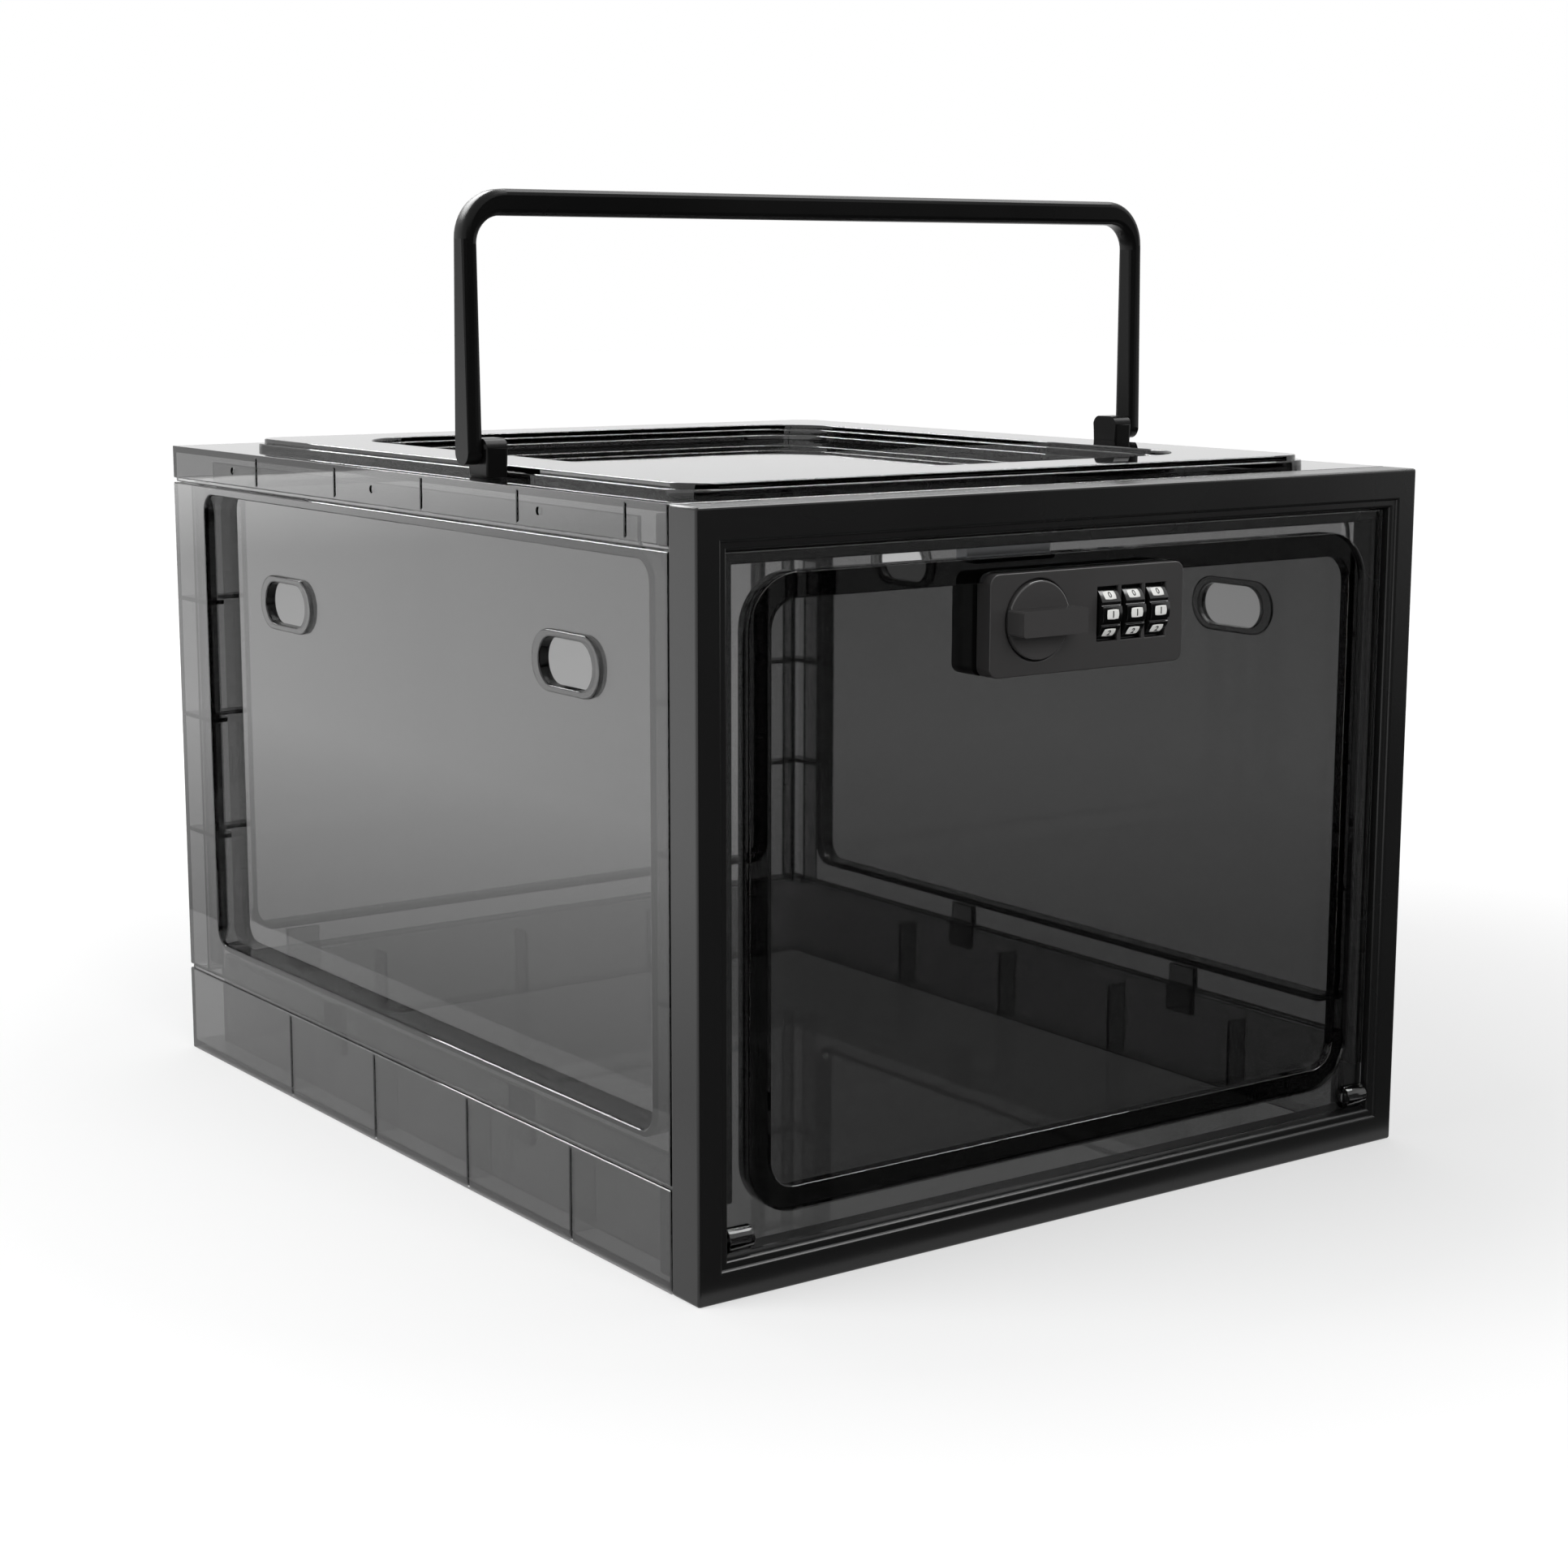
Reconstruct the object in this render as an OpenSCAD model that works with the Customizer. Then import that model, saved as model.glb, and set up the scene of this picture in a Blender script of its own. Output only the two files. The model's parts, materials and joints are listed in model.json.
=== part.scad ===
// Lockable storage box for medicine or food: a smoke-tinted clear body, a black front frame
// with a drop-down clear door, a knob lock behind three digit wheels, and a folding handle.
// Frame of the part: X to the right, Y from the front to the back, Z up.
// The origin is the centre of the footprint, on the table.

/* [Box] */
// Width of the box, left to right
box_w = 262; // [230:1:320]
// Depth of the box, front of the frame to the back wall
box_d = 318; // [270:1:380]
// Height of the box, table to the top of the front frame
box_h = 210; // [180:1:260]
// Gap left between neighbouring mouldings
seam = 0.2; // [0.1:0.05:0.4]

/* [Base tray] */
// Thickness of the floor
floor_t = 3; // [2:0.5:5]
// Height of the outer skirt of the base
base_h = 30; // [24:1:40]
// Thickness of the skirts of the base and the lid
skirt_t = 1.8; // [1.6:0.1:2]
// Height of the shadow line where a skirt meets a wall
line_h = 1.2; // [0.8:0.1:2]
// Depth of that shadow line
line_deep = 0.7; // [0.4:0.1:0.8]
// Width of the score lines down the side skirts
score_w = 0.8; // [0.5:0.1:1.2]
// Depth of those score lines
score_deep = 0.6; // [0.3:0.1:0.8]
// Distance from the ends of a score line to the edges of its skirt
score_end = 1.2; // [1:0.1:2]
// Height of the inner upstand above the table
upstand_h = 34; // [26:1:38]
// Thickness of the inner upstand
upstand_t = 2; // [1.5:0.1:3]
// Distance from the front of the box to the first base rib
base_rib_start = 64; // [45:1:80]
// Distance between base ribs
base_rib_pitch = 58.5; // [45:0.5:70]
// Thickness of the base ribs
rib_t = 1.2; // [0.8:0.1:2]
// Distance from the top of the base's skirt down to its ribs
rib_drop = 4; // [2:0.5:6]

/* [Walls] */
// Thickness of the outer skin of a wall
skin_t = 2.2; // [2.1:0.1:2.8]
// Depth at which the window panel lies behind the outer face
panel_set = 6; // [4:0.5:8]
// Thickness of the window panel
panel_t = 2.2; // [1.6:0.1:3]
// Height of the sill between the base and the window
sill_h = 12; // [8:1:20]
// Height of the strip between the window and the lid
head_h = 3; // [2:0.5:6]
// Width of the wall's post beside the front frame
post_front = 9; // [6:0.5:14]
// Width of the wall's post at the back corner
post_back = 24; // [18:1:30]
// Width of the posts of the back wall
post_rear = 16; // [10:1:24]
// Corner radius of the windows
window_r = 6; // [3:0.5:12]
// Thickness of the frame that joins the skin to the window panel
return_t = 2; // [1.4:0.1:2.6]
// Distance between the rungs in the posts
rung_pitch = 40; // [30:1:60]
// Thickness of the rungs
rung_t = 1.4; // [0.8:0.1:2]
// Distance from the back face to the upright rib in the back post
post_rib = 13; // [11:0.5:15]
// Width of the tabs that hold a wall in the base
tab_w = 12; // [8:1:18]
// Thickness of the lip that holds a wall in the lid
lip_t = 1.2; // [1:0.1:2]
// Length that a tab reaches into the base and a lip into the lid
tab_reach = 8; // [6:0.5:8.5]
// Diameter of the snap pips on the lips
pip_d = 2; // [1.5:0.1:2.6]

/* [Vents] */
// Length of a vent hole
vent_l = 28; // [20:0.5:36]
// Height of a vent hole
vent_h = 13.5; // [10:0.5:18]
// Width of the raised ring round a vent
vent_ring = 4; // [2:0.5:5]
// Height of the raised ring above the panel
vent_rise = 1.4; // [0.8:0.1:2]
// Distance from the end of the window to the centre of a vent
vent_inset = 49.5; // [35:0.5:70]
// Distance from the lid down to the centre of the vents
vent_drop = 35.6; // [28:0.1:60]

/* [Lid] */
// Height of the lid's skirt
lid_h = 12; // [11:0.5:16]
// Thickness of the lid's plates and of the walls of its recess
lid_t = 2.2; // [1.6:0.1:2.6]
// Distance from the side of the box to the raised rim
rim_side = 15.5; // [14.5:0.5:20]
// Distance from the front or the back of the box to the raised rim
rim_end = 27; // [20:0.5:36]
// Height of the raised rim above the ledge
rim_h = 3.4; // [2.8:0.1:3.5]
// Height of the lower step of the rim
rim_step_h = 1.8; // [1:0.1:2.2]
// Width of the step round the rim
rim_step_w = 1.6; // [0.8:0.1:2.4]
// Corner radius of the rim
rim_r = 10; // [6:0.5:16]
// Width of the flat band of the rim
band_w = 24; // [16:0.5:32]
// Corner radius of the recess
recess_r = 24; // [14:0.5:36]
// Depth from the top of the rim to the floor of the recess
recess_depth = 5.5; // [5:0.5:10]
// Depth of the first step in the recess wall
recess_step_1 = 1.5; // [1:0.5:2]
// Depth of the second step in the recess wall
recess_step_2 = 3.5; // [3:0.5:4]
// Width of each step in the recess wall
recess_step_w = 2.4; // [1.5:0.1:4]
// Distance from the front of the box to the first score line of the lid
lid_score_start = 33; // [26:1:45]
// Distance between score lines of the lid
lid_score_pitch = 55; // [45:0.5:70]
// Distance from the front of the box to the first snap pip
pip_start = 77; // [60:1:90]
// Distance between snap pips
pip_pitch = 97; // [80:1:110]

/* [Front frame] */
// Depth of the front frame
frame_d = 13; // [11:0.5:16]
// Width of the frame's side bars
bar_side = 10; // [9:0.5:16]
// Height of the frame's top bar
bar_top = 11.5; // [9:0.5:16]
// Height of the frame's bottom bar
bar_low = 11; // [8:0.5:16]
// Width of the ledge that stops the door
stop_w = 4; // [2.5:0.5:5.5]
// Distance from the front of the frame to the stop ledge
stop_set = 5; // [4.9:0.1:5.6]
// Width of the step round the front of the opening
mouth_w = 2.2; // [1:0.1:3]
// Depth of that step
mouth_deep = 0.8; // [0.4:0.1:1.5]
// Height of the gap below the side stops, where the door turns
stop_relief = 14; // [11:0.5:20]
// Length of the tongues at the back of the frame
tongue_l = 8; // [5:0.5:11]
// Thickness of those tongues
tongue_t = 3; // [2:0.5:4]

/* [Door] */
// Gap between the door and the frame's opening
door_gap = 0.6; // [0.5:0.05:1]
// Thickness of the door's border
border_t = 1.5; // [1.2:0.1:1.6]
// Distance from the front of the frame to the door's border
border_set = 3.2; // [2.8:0.1:3.3]
// Thickness of the door's sunk panel
sunk_t = 3; // [2.4:0.1:3.2]
// Distance from the front of the frame to the door's sunk panel
sunk_set = 5.7; // [5.2:0.1:6]
// Width of the rib round the sunk panel
hoop_w = 7; // [4:0.5:9]
// How far that rib stands in front of the border
hoop_rise = 0.8; // [0.4:0.1:1.2]
// Width of the border at the door's sides
border_side = 7.4; // [6.5:0.1:12]
// Width of the border at the door's lower edge
border_low = 8.4; // [8.2:0.1:12]
// Width of the border at the door's upper edge
border_top = 5.9; // [5.6:0.1:9]
// Outer corner radius of the rib round the sunk panel
tray_r = 15; // [12:0.5:24]
// Diameter of the hinge pins
hinge_pin_d = 3; // [2:0.1:4]
// Length of a hinge pin inside the frame
hinge_pin_in = 7; // [5:0.5:8]
// Radius of the hinge knuckles
knuckle_r = 3.5; // [3:0.1:3.6]
// Length of the hinge knuckles
knuckle_l = 8; // [5:0.5:12]
// Distance from the front of the frame to the hinge axis
hinge_set = 4; // [3.8:0.1:4.4]
// Height of the hinge axis above the door's lower edge
hinge_up = 3.9; // [3.8:0.05:4.2]

/* [Lock] */
// Width of the lock
lock_w = 71; // [70:0.5:80]
// Height of the lock
lock_h = 28.5; // [28:0.5:34]
// Distance from the top of the box to the centre of the lock
lock_drop = 36.75; // [35:0.25:60]
// Corner radius of the lock
lock_r = 3; // [2:0.25:5]
// How far the face of the lock stands in front of the frame
lock_proud = 0.3; // [0:0.1:1]
// Thickness of the front plate of the lock
face_t = 1.4; // [1.2:0.1:1.6]
// Thickness of the walls of the lock's casing
case_t = 1.6; // [1.2:0.1:2]
// Depth of the rear cover behind the door's panel
rear_depth = 8.8; // [8.6:0.1:12]
// Thickness of the back plate of the rear cover
rear_t = 1.8; // [1.4:0.1:2]
// Height of the knob and wheel axes above the lock's centre
axis_up = 1; // [0:0.25:1.5]
// Diameter of the lock's screws
lock_screw_d = 2.4; // [2:0.1:2.6]
// Diameter of the heads of the lock's screws
lock_head_d = 4.4; // [3.8:0.1:4.6]
// Height of the heads of the lock's screws
lock_head_h = 1.6; // [1.2:0.1:2]

/* [Digit wheels] */
// Radius of a digit wheel
wheel_r = 9; // [8.5:0.1:9.1]
// Width of a digit wheel
wheel_w = 7; // [6:0.1:7.2]
// Distance between digit wheels
wheel_pitch = 9; // [8.8:0.1:9.3]
// Distance from the lock's centre to the middle wheel
wheel_x = 16; // [15.8:0.1:16.3]
// How far a wheel stands out of the lock's face
wheel_proud = 2.3; // [1.8:0.1:2.6]
// Diameter of the grooves between the digits
groove_d = 1.2; // [0.8:0.1:1.6]
// Diameter of the axle of the wheels
axle_d = 4; // [3:0.1:4.4]
// Outer radius of the code sleeves
sleeve_r = 3.8; // [3.2:0.1:4.2]
// Thickness of the flange of a code sleeve
flange_t = 1.3; // [1:0.1:1.4]
// Width of the gate in that flange
gate_w = 2; // [1.6:0.1:2.6]

/* [Knob] */
// Distance from the lock's centre to the knob's axis
knob_x = 18.7; // [18:0.1:19.4]
// Radius of the knob's disc
knob_r = 11; // [9:0.1:11.2]
// How far the disc stands out of the lock's face
knob_proud = 1.1; // [0.5:0.1:2]
// Length of the knob's grip
grip_l = 23; // [18:0.5:26]
// Width of the knob's grip
grip_w = 7.2; // [5:0.1:9]
// Height of the grip above the disc
grip_h = 6.8; // [5:0.1:7.5]
// Radius of the knob's shaft
shaft_r = 4; // [3.6:0.1:4.4]
// Side of the square end of the shaft
square_w = 5; // [4:0.1:5]
// Gap round the knob's disc
knob_gap = 0.5; // [0.3:0.1:0.8]
// Thickness of the latch cam
cam_t = 2.4; // [1.8:0.1:3]
// Width of the latch cam
cam_w = 9; // [8:0.5:12]
// Height of the cam's hold on the strike plate
cam_hold = 6.2; // [4:0.1:7]
// Width of the strike plate
strike_w = 30; // [24:0.5:40]

/* [Handle] */
// Distance from the front of the box to the handle's pivots
pivot_from_front = 124; // [100:1:160]
// Height of the handle's top above the top of the box
handle_h = 81; // [60:1:110]
// Distance from the side of the box to the handle's leg
handle_inset = 3; // [2:0.1:4]
// Thickness of the handle's legs
leg_t = 4.6; // [4.2:0.1:5.2]
// Depth of the handle, front to back
handle_depth = 7.4; // [6.5:0.1:8]
// Height of the handle's bar
bar_h = 7.5; // [5:0.1:9]
// Outer corner radius of the handle
handle_r = 14; // [8:0.5:22]
// Gap between the folded handle and the lid's rim
fold_gap = 0.3; // [0.3:0.1:1]
// Diameter of the handle's pivot pins
pivot_d = 4; // [3:0.1:4.4]
// Depth of the pivot bores in the handle's legs
pivot_bore = 3.2; // [2.4:0.1:3.6]
// Length of the pivot brackets, front to back
bracket_l = 11; // [10.5:0.5:24]
// Diameter of the bracket screws
bracket_screw_d = 2; // [1.6:0.1:2.2]

/* [Reset button] */
// Diameter of the button's stem
reset_d = 3; // [2:0.1:3.2]
// Travel of the button
reset_travel = 1; // [0.5:0.1:1.5]

/* [Fits] */
// Radial clearance of turning pins and shafts
run_fit = 0.05; // [0.02:0.01:0.1]
// Radial clearance of fixed pins
press_fit = 0.02; // [0.01:0.01:0.03]
// Clearance between parts that slide or pass each other
pass_gap = 0.4; // [0.3:0.05:0.5]

/* [Hidden] */
$fn = 64;
cut = 0.1;
digits = 10;
smoke = [0.42, 0.42, 0.43, 0.5];
black = [0.07, 0.07, 0.07];
steel = [0.72, 0.73, 0.74];
front_y = -box_d / 2;
back_y = box_d / 2;
half_w = box_w / 2;
lid_z = box_h - lid_h;
rim_z = box_h + rim_h;
wall_depth = panel_set + panel_t;
body_front = frame_d + seam;
side_len = box_d - body_front;
rear_len = box_w - 2 * (wall_depth + seam);
wall_z0 = base_h + seam;
wall_z1 = lid_z - seam;
window_z0 = base_h + sill_h;
window_z1 = lid_z - head_h;
touch = 0.1;
thread_fit = 0.05;
screw_play = 0.1;
cross_l = 2.6;
cross_w = 0.6;
cross_deep = 0.7;
upstand_gap = 0.8;
upstand_n = wall_depth + upstand_gap;
tab_n = skirt_t + seam;
tab_t = 2.2;
pip_reach = 1.6;
open_w = box_w - 2 * bar_side;
open_z0 = bar_low;
open_z1 = box_h - bar_top;
door_w = open_w - 2 * door_gap;
door_z0 = open_z0 + door_gap;
door_z1 = open_z1 - door_gap;
tray_w = door_w - 2 * border_side;
tray_z0 = door_z0 + border_low;
tray_z1 = door_z1 - border_top;
hoop_y = border_set - hoop_rise;
sunk_back = sunk_set + sunk_t;
hinge_z = door_z0 + hinge_up;
lock_z = box_h - lock_drop;
axis_z = lock_z + axis_up;
face_y = -lock_proud;
face_back = sunk_set - touch;
rear_y = sunk_back + touch;
rear_back = rear_y + rear_depth;
boss_wall = 1.4;
head_boss_wall = 0.8;
boss_edge = 0.9;
boss_r = lock_screw_d / 2 + boss_wall;
head_boss_r = lock_head_d / 2 + head_boss_wall;
boss_x = lock_w / 2 - boss_r - boss_edge;
boss_z = lock_h / 2 - boss_r - boss_edge;
inner_x1 = boss_x - head_boss_r - pass_gap;
wheel_y = face_y - wheel_proud + wheel_r;
slot_h = 2 * sqrt(pow(wheel_r, 2) - pow(wheel_y - face_y - face_t, 2)) + 2 * pass_gap;
wheel_xs = [for (i = [-1, 0, 1]) wheel_x + i * wheel_pitch];
flange_r = wheel_y - face_y - face_t - pass_gap;
flange_x = -wheel_w / 2 - touch - flange_t;
cheek_t = 1.2;
cheek_gap = 0.6;
cheek_wall = 2;
cheek_low = wheel_xs[0] + flange_x - cheek_gap - cheek_t;
cheek_high = wheel_xs[2] + wheel_w / 2 + cheek_gap;
cheek_r = axle_d / 2 + cheek_wall;
bar_y = rear_y + 2 * touch;
bar_t = 1.4;
gate_y = bar_y + bar_t / 2 - wheel_y;
gate_top = sqrt(pow(sleeve_r, 2) - pow(gate_y - gate_w / 2, 2)) + touch;
cup_y = face_y + face_t + pass_gap;
cup_t = 1.5;
cup_wall = 1;
disc_gap = 0.2;
strike_gap = 2;
strike_lap = 5.5;
strike_z0 = lock_z + lock_h / 2 + strike_gap;
strike_z1 = open_z1 + strike_lap;
cam_y = rear_back + pass_gap;
cam_reach = strike_z0 + cam_hold - axis_z;
strike_y1 = cam_y - pass_gap;
strike_r = 1.5;
cam_hub_lip = 1;
cam_tip_r = 1.9;
cam_screw_l = 4;
tongue_gap = 0.6;
strike_screw_up = 2;
strike_screw_edge = 4;
strike_screw_bore = 8;
strike_screw_grip = 6;
strike_screw_z = open_z1 + strike_screw_up;
strike_screw_dx = strike_w / 2 - strike_screw_edge;
pivot_y = front_y + pivot_from_front;
pivot_z = rim_z + fold_gap + handle_depth / 2;
handle_z1 = box_h + handle_h;
leg_x1 = half_w - handle_inset;
leg_x0 = leg_x1 - leg_t;
bracket_rim_gap = 0.5;
bracket_leg_gap = 0.6;
bracket_wall = 1.8;
bracket_screw_edge = 0.8;
bracket_x0 = half_w - rim_side + bracket_rim_gap;
bracket_x1 = leg_x0 - bracket_leg_gap;
bracket_top = pivot_z + pivot_d / 2 + bracket_wall;
bracket_top_r = 3;
bracket_screw_x = (bracket_x0 + bracket_x1) / 2;
bracket_screw_dy = bracket_l / 2 - bracket_screw_d / 2 - bracket_screw_edge;
bracket_screw_z1 = pivot_z - 1;
bracket_head_d = 4;
bracket_head_h = 1.4;
pin_stop = 1;
pin_end_gap = 0.3;
reset_lip = 0.8;
reset_gap = 0.3;
shelf_t = 1.4;
shelf_wing = 1;
reset_flange_r = reset_d / 2 + reset_lip;
reset_x = -boss_x + head_boss_r + pass_gap + shelf_wing + reset_flange_r;
reset_y = rear_back - rear_t - reset_flange_r - reset_gap;
reset_z0 = lock_z - lock_h / 2;
reset_flange_t = 1.2;
reset_flange_z = reset_z0 + case_t + 2 * touch;
reset_spring_z = reset_flange_z + reset_flange_t + touch;
reset_spring_l = 4;

// Stations along the side of the box, measured from the front of the box
function side_row(start, pitch) = [for (d = [start : pitch : box_d - post_back]) d];

// Tabs in the base sit in every second bay between its ribs
base_ribs = side_row(base_rib_start, base_rib_pitch);
base_tabs = side_row(base_rib_start + base_rib_pitch / 2, 2 * base_rib_pitch);
lid_scores = side_row(lid_score_start, lid_score_pitch);
side_pips = side_row(pip_start, pip_pitch);

// Ribs, and the tabs and pips, along the back, measured from the box's centre line
rear_ribs = [-1, 0, 1] * base_rib_pitch;
rear_tabs = [-1.5, 1.5] * base_rib_pitch;

// Flat rectangle with round corners, centred
module rounded(w, h, r) {
    square([w - 2 * r, h], center = true);
    square([w, h - 2 * r], center = true);
    for (sx = [-1, 1], sy = [-1, 1])
        translate([sx * (w / 2 - r), sy * (h / 2 - r)])
            circle(r);
}

// Flat slot with half-round ends, centred
module slot(l, h) {
    square([l - h, h], center = true);
    for (s = [-1, 1])
        translate([s * (l - h) / 2, 0])
            circle(d = h);
}

// A flat shape drawn in X and Z, given thickness from y0 to y1
module across_y(y0, y1) {
    translate([0, y1, 0])
        rotate([90, 0, 0])
            linear_extrude(y1 - y0)
                children();
}

// A flat shape drawn in Y and Z, given thickness from x0 to x1
module across_x(x0, x1) {
    translate([x0, 0, 0])
        rotate([90, 0, 90])
            linear_extrude(x1 - x0)
                children();
}

// A flat shape drawn in X and Y, given thickness from z0 to z1
module across_z(z0, z1) {
    translate([0, 0, z0])
        linear_extrude(z1 - z0)
            children();
}

// A block between two opposite corners
module block(low, high) {
    translate(low)
        cube(high - low);
}

// A round rod along X, Y or Z from one station to another
module rod_x(x0, x1, r) {
    translate([x0, 0, 0])
        rotate([0, 90, 0])
            cylinder(r = r, h = x1 - x0);
}

module rod_y(y0, y1, r) {
    translate([0, y1, 0])
        rotate([90, 0, 0])
            cylinder(r = r, h = y1 - y0);
}

module rod_z(z0, z1, r) {
    translate([0, 0, z0])
        cylinder(r = r, h = z1 - z0);
}

// Places a child with Y measured from the front of the box
module from_front() {
    translate([0, front_y, 0])
        children();
}

// A child on the right of the box, and its mirror image on the left
module both_sides() {
    for (s = [0, 1])
        mirror([s, 0, 0])
            children();
}

// Places a child on the lock's centre, with Y measured from the front of the box
module at_lock(x = 0, z = 0) {
    translate([x, front_y, lock_z + z])
        children();
}

// Outline of the body behind the frame, drawn in by an inset at the sides and the back
module body_outline(inset, front) {
    translate([-half_w + inset, front_y + front])
        square([box_w - 2 * inset, box_d - front - inset]);
}

// Cut round the outer face of a skirt, for the shadow line where it meets a wall
module shadow_line(z0, z1) {
    across_z(z0, z1)
        difference() {
            body_outline(-cut, body_front - cut);
            body_outline(line_deep, body_front - 2 * cut);
        }
}

// Cuts down the outer faces of both side skirts, at a row of stations
module score_lines(row, z0, z1) {
    for (s = [-1, 1], d = row)
        translate([s * half_w, front_y + d, 0])
            block([-score_deep, -score_w / 2, z0], [score_deep, score_w / 2, z1]);
}

// Base: floor, outer skirt, inner upstand and the ribs between them
module base_tray() {
    color(smoke)
        difference() {
            union() {
                across_z(0, floor_t)
                    body_outline(0, body_front);
                across_z(0, base_h)
                    difference() {
                        body_outline(0, body_front);
                        body_outline(skirt_t, body_front - cut);
                    }
                across_z(0, upstand_h)
                    difference() {
                        body_outline(upstand_n, body_front);
                        body_outline(upstand_n + upstand_t, body_front - cut);
                    }
                both_sides()
                    for (d = base_ribs)
                        block([half_w - upstand_n - cut, front_y + d - rib_t / 2, floor_t / 2],
                              [half_w - skirt_t + cut, front_y + d + rib_t / 2, base_h - rib_drop]);
                for (x = rear_ribs)
                    block([x - rib_t / 2, back_y - upstand_n - cut, floor_t / 2],
                          [x + rib_t / 2, back_y - skirt_t + cut, base_h - rib_drop]);
            }
            shadow_line(base_h - line_h, base_h + cut);
            score_lines(base_ribs, score_end, base_h - line_h - score_end);
        }
}

// Outline of a wall's window, drawn in X and Z and grown all round
module window_outline(length, post_a, post_b, grow = 0) {
    w = length - post_a - post_b;
    h = window_z1 - window_z0;
    translate([post_a + w / 2, window_z0 + h / 2])
        rounded(w + 2 * grow, h + 2 * grow, window_r + grow);
}

// A wall drawn with X along it, Y inwards from its outer face and Z up.
// The posts at its ends are hollow, with rungs. A sunk panel fills the window, and a lip with pips
// stands on the window's head.
module wall(length, post_a, post_b, vents, low_tabs, pips, rib_at) {
    difference() {
        union() {
            across_y(0, skin_t)
                difference() {
                    translate([0, wall_z0])
                        square([length, wall_z1 - wall_z0]);
                    window_outline(length, post_a, post_b);
                }
            across_y(0, wall_depth)
                difference() {
                    window_outline(length, post_a, post_b, return_t);
                    window_outline(length, post_a, post_b);
                }
            across_y(panel_set, wall_depth)
                window_outline(length, post_a, post_b, return_t / 2);
            for (u = [0, length - return_t])
                block([u, 0, wall_z0], [u + return_t, wall_depth, wall_z1]);
            for (z = [wall_z1 - rung_pitch : -rung_pitch : window_z0]) {
                block([0, skin_t / 2, z], [post_a, wall_depth, z + rung_t]);
                block([length - post_b, skin_t / 2, z], [length, wall_depth, z + rung_t]);
            }
            for (u = rib_at)
                block([u, skin_t / 2, wall_z0], [u + rung_t, wall_depth, wall_z1]);
            for (u = low_tabs)
                block([u - tab_w / 2, tab_n, base_h - tab_reach],
                      [u + tab_w / 2, tab_n + tab_t, base_h + tab_reach]);
            block([post_a + window_r, tab_n, window_z1 + return_t / 2],
                  [length - post_b - window_r, tab_n + lip_t, lid_z + tab_reach]);
            for (u = pips)
                translate([u, 0, lid_z + tab_reach - pip_d])
                    rod_y(tab_n - pip_reach, tab_n + cut, pip_d / 2);
            for (u = vents)
                translate([u, 0, lid_z - vent_drop])
                    across_y(panel_set - vent_rise, wall_depth)
                        slot(vent_l + 2 * vent_ring, vent_h + vent_ring);
        }
        for (u = vents)
            translate([u, 0, lid_z - vent_drop])
                across_y(panel_set - vent_rise - cut, wall_depth + cut)
                    slot(vent_l, vent_h);
    }
}

// Left wall, with X of the drawing running from the back to the front
module side_wall() {
    translate([-half_w, back_y, 0])
        rotate([0, 0, -90])
            wall(side_len, post_back, post_front,
                 [post_back + vent_inset, side_len - post_front - vent_inset],
                 [for (d = base_tabs) box_d - d], [for (d = side_pips) box_d - d], [post_rib]);
}

module left_wall() {
    color(smoke)
        side_wall();
}

module right_wall() {
    color(smoke)
        mirror([1, 0, 0])
            side_wall();
}

module back_wall() {
    tabs = [for (x = rear_tabs) rear_len / 2 + x];
    color(smoke)
        translate([rear_len / 2, back_y, 0])
            rotate([0, 0, 180])
                wall(rear_len, post_rear, post_rear, [], tabs, tabs, []);
}

// Outlines of the lid's rim and recess, drawn in by an inset
module rim_outline(inset) {
    rounded(box_w - 2 * rim_side - 2 * inset, box_d - 2 * rim_end - 2 * inset, rim_r - inset / 2);
}

module recess_outline(inset) {
    inward = rim_side + band_w + inset;
    onward = rim_end + band_w + inset;
    rounded(box_w - 2 * inward, box_d - 2 * onward, recess_r - inset);
}

// Steps of the recess as depth at the top, depth at the bottom, and inset
recess_steps = [[0, recess_step_1, 0],
                [recess_step_1, recess_step_2, recess_step_w],
                [recess_step_2, recess_depth, 2 * recess_step_w]];

module recess_stack(grow, deeper) {
    for (s = recess_steps)
        across_z(rim_z - s[1] - deeper, rim_z - s[0])
            recess_outline(s[2] - grow);
}

// Lid: skirt and ledge, hollow raised rim and stepped recess
module lid() {
    color(smoke)
        difference() {
            union() {
                difference() {
                    across_z(lid_z, box_h)
                        body_outline(0, body_front);
                    across_z(lid_z - cut, box_h - lid_t)
                        body_outline(skirt_t, body_front - cut);
                }
                across_z(box_h - lid_t, box_h + rim_step_h)
                    rim_outline(0);
                across_z(box_h, rim_z)
                    rim_outline(rim_step_w);
                recess_stack(lid_t, lid_t);
            }
            difference() {
                across_z(box_h - lid_t - cut, rim_z - lid_t)
                    rim_outline(rim_step_w + lid_t);
                recess_stack(lid_t, lid_t);
            }
            recess_stack(0, 0);
            across_z(rim_z - cut, rim_z + cut)
                recess_outline(0);
            for (s = [-1, 1], d = side_pips)
                translate([s * half_w, front_y + d, lid_z + tab_reach - pip_d])
                    rod_x(-skirt_t - cut, skirt_t + cut, pip_d / 2 + seam);
            for (x = rear_tabs)
                translate([x, back_y, lid_z + tab_reach - pip_d])
                    rod_y(-skirt_t - cut, skirt_t + cut, pip_d / 2 + seam);
            at_bracket_screws()
                rod_z(box_h - lid_t - cut, box_h + cut, bracket_screw_d / 2 + screw_play);
            shadow_line(lid_z - cut, lid_z + line_h);
            score_lines(lid_scores, lid_z + line_h + score_end, box_h - score_end);
        }
}

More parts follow.
